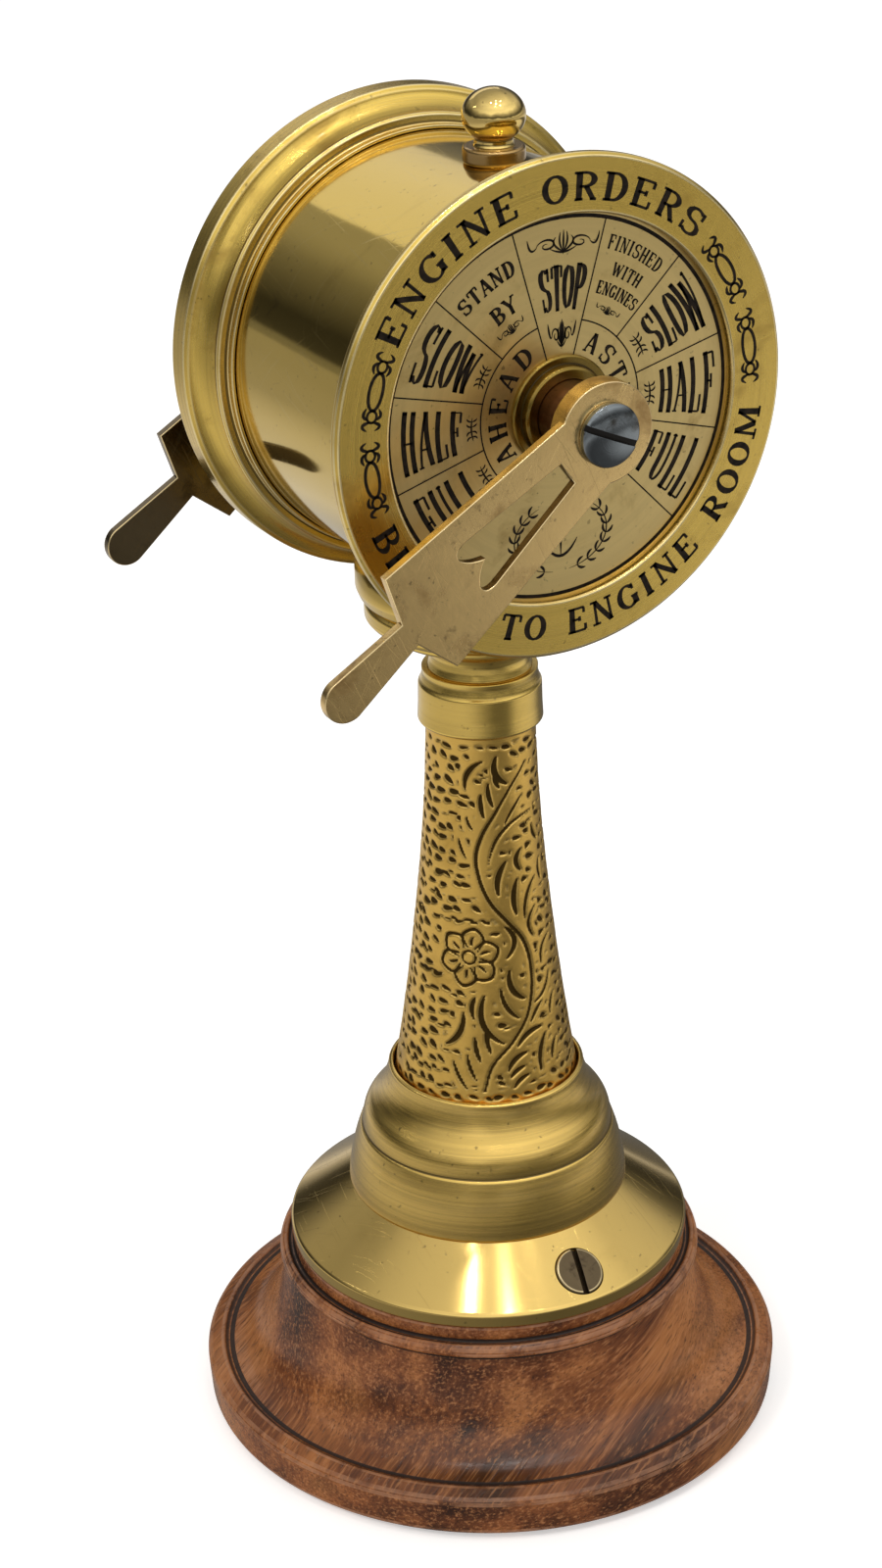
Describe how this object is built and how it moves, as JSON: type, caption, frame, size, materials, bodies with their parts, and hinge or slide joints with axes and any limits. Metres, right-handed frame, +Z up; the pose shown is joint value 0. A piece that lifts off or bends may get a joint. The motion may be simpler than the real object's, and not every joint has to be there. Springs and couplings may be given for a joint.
{
  "type": "ship engine telegraph",
  "caption": "Tabletop engine order telegraph: round drum with a dial and pointer lever on each face, on a flared column and a turned wooden base.",
  "frame": {"origin": "middle of the underside of the base, on the surface it stands on", "axes": "+Z up; -Y out of the front dial; +X to the right of someone facing the front dial"},
  "size_m": [0.1516, 0.1516, 0.3497],
  "materials": {
    "felt": "short green baize",
    "base_wood": "reddish-brown hardwood, semi-gloss varnish",
    "satin_brass": "turned and brushed brass, satin",
    "rim_brass": "turned brass, half polished, aged",
    "polished_brass": "mirror-polished brass",
    "dial_brass": "etched brass with brown patina",
    "lever_bronze": "bronze-brown brass, worn bright on the edges",
    "shaft_bronze": "dark oiled bronze",
    "dark_steel": "blackened steel, polished by handling",
    "bronze_screw": "dull dark bronze",
    "plain_steel": "plain zinc-plated steel"
  },
  "bodies": {
    "stand": {"base_felt_pad": "felt", "wooden_base": "base_wood", "base_flange": "satin_brass", "pedestal_ring": "satin_brass", "column": "satin_brass", "column_collar": "satin_brass", "saddle_stem": "satin_brass", "saddle_lower_ring": "satin_brass", "saddle_middle_ring": "satin_brass", "drum_saddle": "satin_brass", "front_bezel": "rim_brass", "rear_bezel": "rim_brass", "rear_seam_ring": "rim_brass", "drum_shell": "polished_brass", "finial_ball": "polished_brass", "gong": "polished_brass", "front_dial_plate": "dial_brass", "rear_dial_plate": "dial_brass", "front_bush": "dial_brass", "rear_bush": "dial_brass", "mechanism_bracket": "dial_brass", "gong_post": "dial_brass", "finial_washer": "lever_bronze", "flange_screw_front": "bronze_screw", "flange_screw_rear": "bronze_screw", "tie_rod": "plain_steel", "tie_rod_lower_washer": "plain_steel", "tie_rod_lower_nut": "plain_steel", "tie_rod_upper_washer": "plain_steel", "tie_rod_upper_nut": "plain_steel", "hammer_pin": "plain_steel", "hammer_spring": "plain_steel", "gong_screw": "plain_steel", "finial_nut": "plain_steel"},
    "lever": {"lever_shaft": "shaft_bronze", "front_lever": "lever_bronze", "rear_lever": "lever_bronze", "front_lever_screw": "dark_steel", "rear_lever_screw": "dark_steel", "star_wheel": "dial_brass", "star_wheel_screw": "plain_steel"},
    "hammer": {"bell_hammer": "dial_brass"}
  },
  "joints": [
    {"name": "lever_turn", "type": "hinge", "parent": "stand", "child": "lever", "pos_m": [0, 0, 0.282], "axis": [0, 1, 0], "range_deg": [-4, 256]},
    {"name": "hammer_swing", "type": "hinge", "parent": "stand", "child": "hammer", "pos_m": [0.02, 0, 0.262], "axis": [0, 1, 0], "range_deg": [-4, 10], "stiffness_Nm_per_rad": 0.06}
  ]
}
